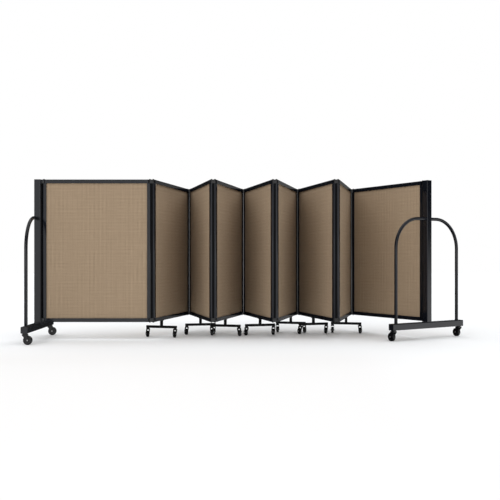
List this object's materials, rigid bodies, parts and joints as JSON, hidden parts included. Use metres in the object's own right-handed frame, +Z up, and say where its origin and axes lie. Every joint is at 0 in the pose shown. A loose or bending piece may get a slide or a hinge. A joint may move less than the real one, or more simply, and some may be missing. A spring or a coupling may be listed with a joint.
{
  "type": "folding fabric room divider",
  "caption": "Folding fabric room divider on casters: framed fabric panels on two-pin hinges, T-legs under the panels, and end frames with a hoop over a foot.",
  "frame": {"origin": "middle of the floor area that the divider covers as it stands in the picture, on the floor", "axes": "+X along the wall of panels, left to right in the picture, +Y away from the viewer, +Z up"},
  "size_m": [3.3376, 1.1708, 1.223],
  "materials": {
    "frame_black": "satin",
    "panel_fabric": "woven",
    "hinge_black": "satin",
    "caster_black": "satin",
    "caster_wheel": "matte"
  },
  "bodies": {
    "panel_1": {"panel_1_frame": "frame_black", "panel_1_fabric_board": "panel_fabric"},
    "panel_2": {"panel_2_frame": "frame_black", "panel_2_fabric_board": "panel_fabric", "leg_2": "frame_black"},
    "panel_3": {"panel_3_frame": "frame_black", "panel_3_fabric_board": "panel_fabric", "leg_3": "frame_black"},
    "panel_4": {"panel_4_frame": "frame_black", "panel_4_fabric_board": "panel_fabric", "leg_4": "frame_black"},
    "panel_5": {"panel_5_frame": "frame_black", "panel_5_fabric_board": "panel_fabric", "leg_5": "frame_black"},
    "panel_6": {"panel_6_frame": "frame_black", "panel_6_fabric_board": "panel_fabric", "leg_6": "frame_black"},
    "panel_7": {"panel_7_frame": "frame_black", "panel_7_fabric_board": "panel_fabric", "leg_7": "frame_black"},
    "panel_8": {"panel_8_frame": "frame_black", "panel_8_fabric_board": "panel_fabric", "leg_8": "frame_black"},
    "panel_9": {"panel_9_frame": "frame_black", "panel_9_fabric_board": "panel_fabric"},
    "hinge_1_2": {"hinge_1_2": "hinge_black"},
    "hinge_2_3": {"hinge_2_3": "hinge_black"},
    "hinge_3_4": {"hinge_3_4": "hinge_black"},
    "hinge_4_5": {"hinge_4_5": "hinge_black"},
    "hinge_5_6": {"hinge_5_6": "hinge_black"},
    "hinge_6_7": {"hinge_6_7": "hinge_black"},
    "hinge_7_8": {"hinge_7_8": "hinge_black"},
    "hinge_8_9": {"hinge_8_9": "hinge_black"},
    "left_end": {"left_end_post": "frame_black", "left_foot_and_hoop": "frame_black"},
    "left_front_caster_fork": {"left_front_caster_fork": "caster_black"},
    "left_front_caster_wheel": {"left_front_caster_wheel": "caster_wheel"},
    "left_back_caster_fork": {"left_back_caster_fork": "caster_black"},
    "left_back_caster_wheel": {"left_back_caster_wheel": "caster_wheel"},
    "right_end": {"right_end_post": "frame_black", "right_foot_and_hoop": "frame_black"},
    "right_front_caster_fork": {"right_front_caster_fork": "caster_black"},
    "right_front_caster_wheel": {"right_front_caster_wheel": "caster_wheel"},
    "right_back_caster_fork": {"right_back_caster_fork": "caster_black"},
    "right_back_caster_wheel": {"right_back_caster_wheel": "caster_wheel"},
    "leg_2_caster_left": {"leg_2_caster_left": "caster_black"},
    "leg_2_caster_right": {"leg_2_caster_right": "caster_black"},
    "leg_3_caster_left": {"leg_3_caster_left": "caster_black"},
    "leg_3_caster_right": {"leg_3_caster_right": "caster_black"},
    "leg_4_caster_left": {"leg_4_caster_left": "caster_black"},
    "leg_4_caster_right": {"leg_4_caster_right": "caster_black"},
    "leg_5_caster_left": {"leg_5_caster_left": "caster_black"},
    "leg_5_caster_right": {"leg_5_caster_right": "caster_black"},
    "leg_6_caster_left": {"leg_6_caster_left": "caster_black"},
    "leg_6_caster_right": {"leg_6_caster_right": "caster_black"},
    "leg_7_caster_left": {"leg_7_caster_left": "caster_black"},
    "leg_7_caster_right": {"leg_7_caster_right": "caster_black"},
    "leg_8_caster_left": {"leg_8_caster_left": "caster_black"},
    "leg_8_caster_right": {"leg_8_caster_right": "caster_black"}
  },
  "joints": [
    {"name": "hinge_1_2_on_panel_2", "type": "hinge", "parent": "panel_2", "child": "hinge_1_2", "pos_m": [-0.76583, -0.20538, 0], "axis": [0, 0, -1], "range_deg": [-75.1, 14.9]},
    {"name": "hinge_1_2_on_panel_1", "type": "hinge", "parent": "hinge_1_2", "child": "panel_1", "pos_m": [-0.79283, -0.20538, 0], "axis": [0, 0, -1], "range_deg": [0, 90]},
    {"name": "hinge_2_3_on_panel_3", "type": "hinge", "parent": "panel_3", "child": "hinge_2_3", "pos_m": [-0.53133, 0.57449, 0], "axis": [0, 0, 1], "range_deg": [-75.1, 14.9]},
    {"name": "hinge_2_3_on_panel_2", "type": "hinge", "parent": "hinge_2_3", "child": "panel_2", "pos_m": [-0.55833, 0.57449, 0], "axis": [0, 0, 1], "range_deg": [-75.1, 14.9]},
    {"name": "hinge_3_4_on_panel_4", "type": "hinge", "parent": "panel_4", "child": "hinge_3_4", "pos_m": [-0.29682, -0.20538, 0], "axis": [0, 0, -1], "range_deg": [-75.1, 14.9]},
    {"name": "hinge_3_4_on_panel_3", "type": "hinge", "parent": "hinge_3_4", "child": "panel_3", "pos_m": [-0.32382, -0.20538, 0], "axis": [0, 0, -1], "range_deg": [-75.1, 14.9]},
    {"name": "hinge_4_5_on_panel_5", "type": "hinge", "parent": "panel_5", "child": "hinge_4_5", "pos_m": [-0.06232, 0.57449, 0], "axis": [0, 0, 1], "range_deg": [-75.1, 14.9]},
    {"name": "hinge_4_5_on_panel_4", "type": "hinge", "parent": "hinge_4_5", "child": "panel_4", "pos_m": [-0.08932, 0.57449, 0], "axis": [0, 0, 1], "range_deg": [-75.1, 14.9]},
    {"name": "hinge_5_6_on_panel_5", "type": "hinge", "parent": "panel_5", "child": "hinge_5_6", "pos_m": [0.14519, -0.20538, 0], "axis": [0, 0, 1], "range_deg": [-75.1, 14.9]},
    {"name": "hinge_5_6_on_panel_6", "type": "hinge", "parent": "hinge_5_6", "child": "panel_6", "pos_m": [0.17219, -0.20538, 0], "axis": [0, 0, 1], "range_deg": [-75.1, 14.9]},
    {"name": "hinge_6_7_on_panel_6", "type": "hinge", "parent": "panel_6", "child": "hinge_6_7", "pos_m": [0.3797, 0.57449, 0], "axis": [0, 0, -1], "range_deg": [-75.1, 14.9]},
    {"name": "hinge_6_7_on_panel_7", "type": "hinge", "parent": "hinge_6_7", "child": "panel_7", "pos_m": [0.4067, 0.57449, 0], "axis": [0, 0, -1], "range_deg": [-75.1, 14.9]},
    {"name": "hinge_7_8_on_panel_7", "type": "hinge", "parent": "panel_7", "child": "hinge_7_8", "pos_m": [0.6142, -0.20538, 0], "axis": [0, 0, 1], "range_deg": [-75.1, 14.9]},
    {"name": "hinge_7_8_on_panel_8", "type": "hinge", "parent": "hinge_7_8", "child": "panel_8", "pos_m": [0.6412, -0.20538, 0], "axis": [0, 0, 1], "range_deg": [-75.1, 14.9]},
    {"name": "hinge_8_9_on_panel_8", "type": "hinge", "parent": "panel_8", "child": "hinge_8_9", "pos_m": [0.84871, 0.57449, 0], "axis": [0, 0, -1], "range_deg": [-75.1, 14.9]},
    {"name": "hinge_8_9_on_panel_9", "type": "hinge", "parent": "hinge_8_9", "child": "panel_9", "pos_m": [0.87571, 0.57449, 0], "axis": [0, 0, -1], "range_deg": [-57.26, 32.74]},
    {"name": "left_end_hinge", "type": "hinge", "parent": "panel_1", "child": "left_end", "pos_m": [-1.59983, -0.20538, 0], "axis": [0, 0, 1], "range_deg": [-90, 90]},
    {"name": "left_front_caster_swivel", "type": "hinge", "parent": "left_end", "child": "left_front_caster_fork", "pos_m": [-1.64383, -0.55938, 0], "axis": [0, 0, 1], "continuous": true},
    {"name": "left_front_caster_roll", "type": "hinge", "parent": "left_front_caster_fork", "child": "left_front_caster_wheel", "pos_m": [-1.62383, -0.55938, 0.0325], "axis": [0, 1, 0], "continuous": true},
    {"name": "left_back_caster_swivel", "type": "hinge", "parent": "left_end", "child": "left_back_caster_fork", "pos_m": [-1.64383, 0.14862, 0], "axis": [0, 0, 1], "continuous": true},
    {"name": "left_back_caster_roll", "type": "hinge", "parent": "left_back_caster_fork", "child": "left_back_caster_wheel", "pos_m": [-1.62383, 0.14862, 0.0325], "axis": [0, 1, 0], "continuous": true},
    {"name": "right_end_hinge", "type": "hinge", "parent": "panel_9", "child": "right_end", "pos_m": [1.31216, -0.10431, 0], "axis": [0, 0, 1], "range_deg": [-90, 90]},
    {"name": "right_front_caster_swivel", "type": "hinge", "parent": "right_end", "child": "right_front_caster_fork", "pos_m": [1.03819, -0.33277, 0], "axis": [0, 0, 1], "continuous": true},
    {"name": "right_front_caster_roll", "type": "hinge", "parent": "right_front_caster_fork", "child": "right_front_caster_wheel", "pos_m": [1.02737, -0.31595, 0.0325], "axis": [-0.8411, -0.5408, 0], "continuous": true},
    {"name": "right_back_caster_swivel", "type": "hinge", "parent": "right_end", "child": "right_back_caster_fork", "pos_m": [1.63371, 0.05013, 0], "axis": [0, 0, 1], "continuous": true},
    {"name": "right_back_caster_roll", "type": "hinge", "parent": "right_back_caster_fork", "child": "right_back_caster_wheel", "pos_m": [1.6229, 0.06696, 0.0325], "axis": [-0.8411, -0.5408, 0], "continuous": true},
    {"name": "leg_2_swivel_left", "type": "hinge", "parent": "panel_2", "child": "leg_2_caster_left", "pos_m": [-0.83029, -0.00817, 0], "axis": [0, 0, 1], "continuous": true},
    {"name": "leg_2_swivel_right", "type": "hinge", "parent": "panel_2", "child": "leg_2_caster_right", "pos_m": [-0.61189, -0.06629, 0], "axis": [0, 0, 1], "continuous": true},
    {"name": "leg_3_swivel_left", "type": "hinge", "parent": "panel_3", "child": "leg_3_caster_left", "pos_m": [-0.53588, 0.15212, 0], "axis": [0, 0, 1], "continuous": true},
    {"name": "leg_3_swivel_right", "type": "hinge", "parent": "panel_3", "child": "leg_3_caster_right", "pos_m": [-0.31748, 0.21023, 0], "axis": [0, 0, 1], "continuous": true},
    {"name": "leg_4_swivel_left", "type": "hinge", "parent": "panel_4", "child": "leg_4_caster_left", "pos_m": [-0.33222, 0.10103, 0], "axis": [0, 0, 1], "continuous": true},
    {"name": "leg_4_swivel_right", "type": "hinge", "parent": "panel_4", "child": "leg_4_caster_right", "pos_m": [-0.11382, 0.04292, 0], "axis": [0, 0, 1], "continuous": true},
    {"name": "leg_5_swivel_left", "type": "hinge", "parent": "panel_5", "child": "leg_5_caster_left", "pos_m": [-0.05233, 0.09752, 0], "axis": [0, 0, 1], "continuous": true},
    {"name": "leg_5_swivel_right", "type": "hinge", "parent": "panel_5", "child": "leg_5_caster_right", "pos_m": [0.16607, 0.15563, 0], "axis": [0, 0, 1], "continuous": true},
    {"name": "leg_6_swivel_left", "type": "hinge", "parent": "panel_6", "child": "leg_6_caster_left", "pos_m": [0.20943, 0.37403, 0], "axis": [0, 0, 1], "continuous": true},
    {"name": "leg_6_swivel_right", "type": "hinge", "parent": "panel_6", "child": "leg_6_caster_right", "pos_m": [0.42783, 0.31592, 0], "axis": [0, 0, 1], "continuous": true},
    {"name": "leg_7_swivel_left", "type": "hinge", "parent": "panel_7", "child": "leg_7_caster_left", "pos_m": [0.38762, 0.20672, 0], "axis": [0, 0, 1], "continuous": true},
    {"name": "leg_7_swivel_right", "type": "hinge", "parent": "panel_7", "child": "leg_7_caster_right", "pos_m": [0.60602, 0.26483, 0], "axis": [0, 0, 1], "continuous": true},
    {"name": "leg_8_swivel_left", "type": "hinge", "parent": "panel_8", "child": "leg_8_caster_left", "pos_m": [0.66391, 0.31943, 0], "axis": [0, 0, 1], "continuous": true},
    {"name": "leg_8_swivel_right", "type": "hinge", "parent": "panel_8", "child": "leg_8_caster_right", "pos_m": [0.88231, 0.26132, 0], "axis": [0, 0, 1], "continuous": true}
  ]
}
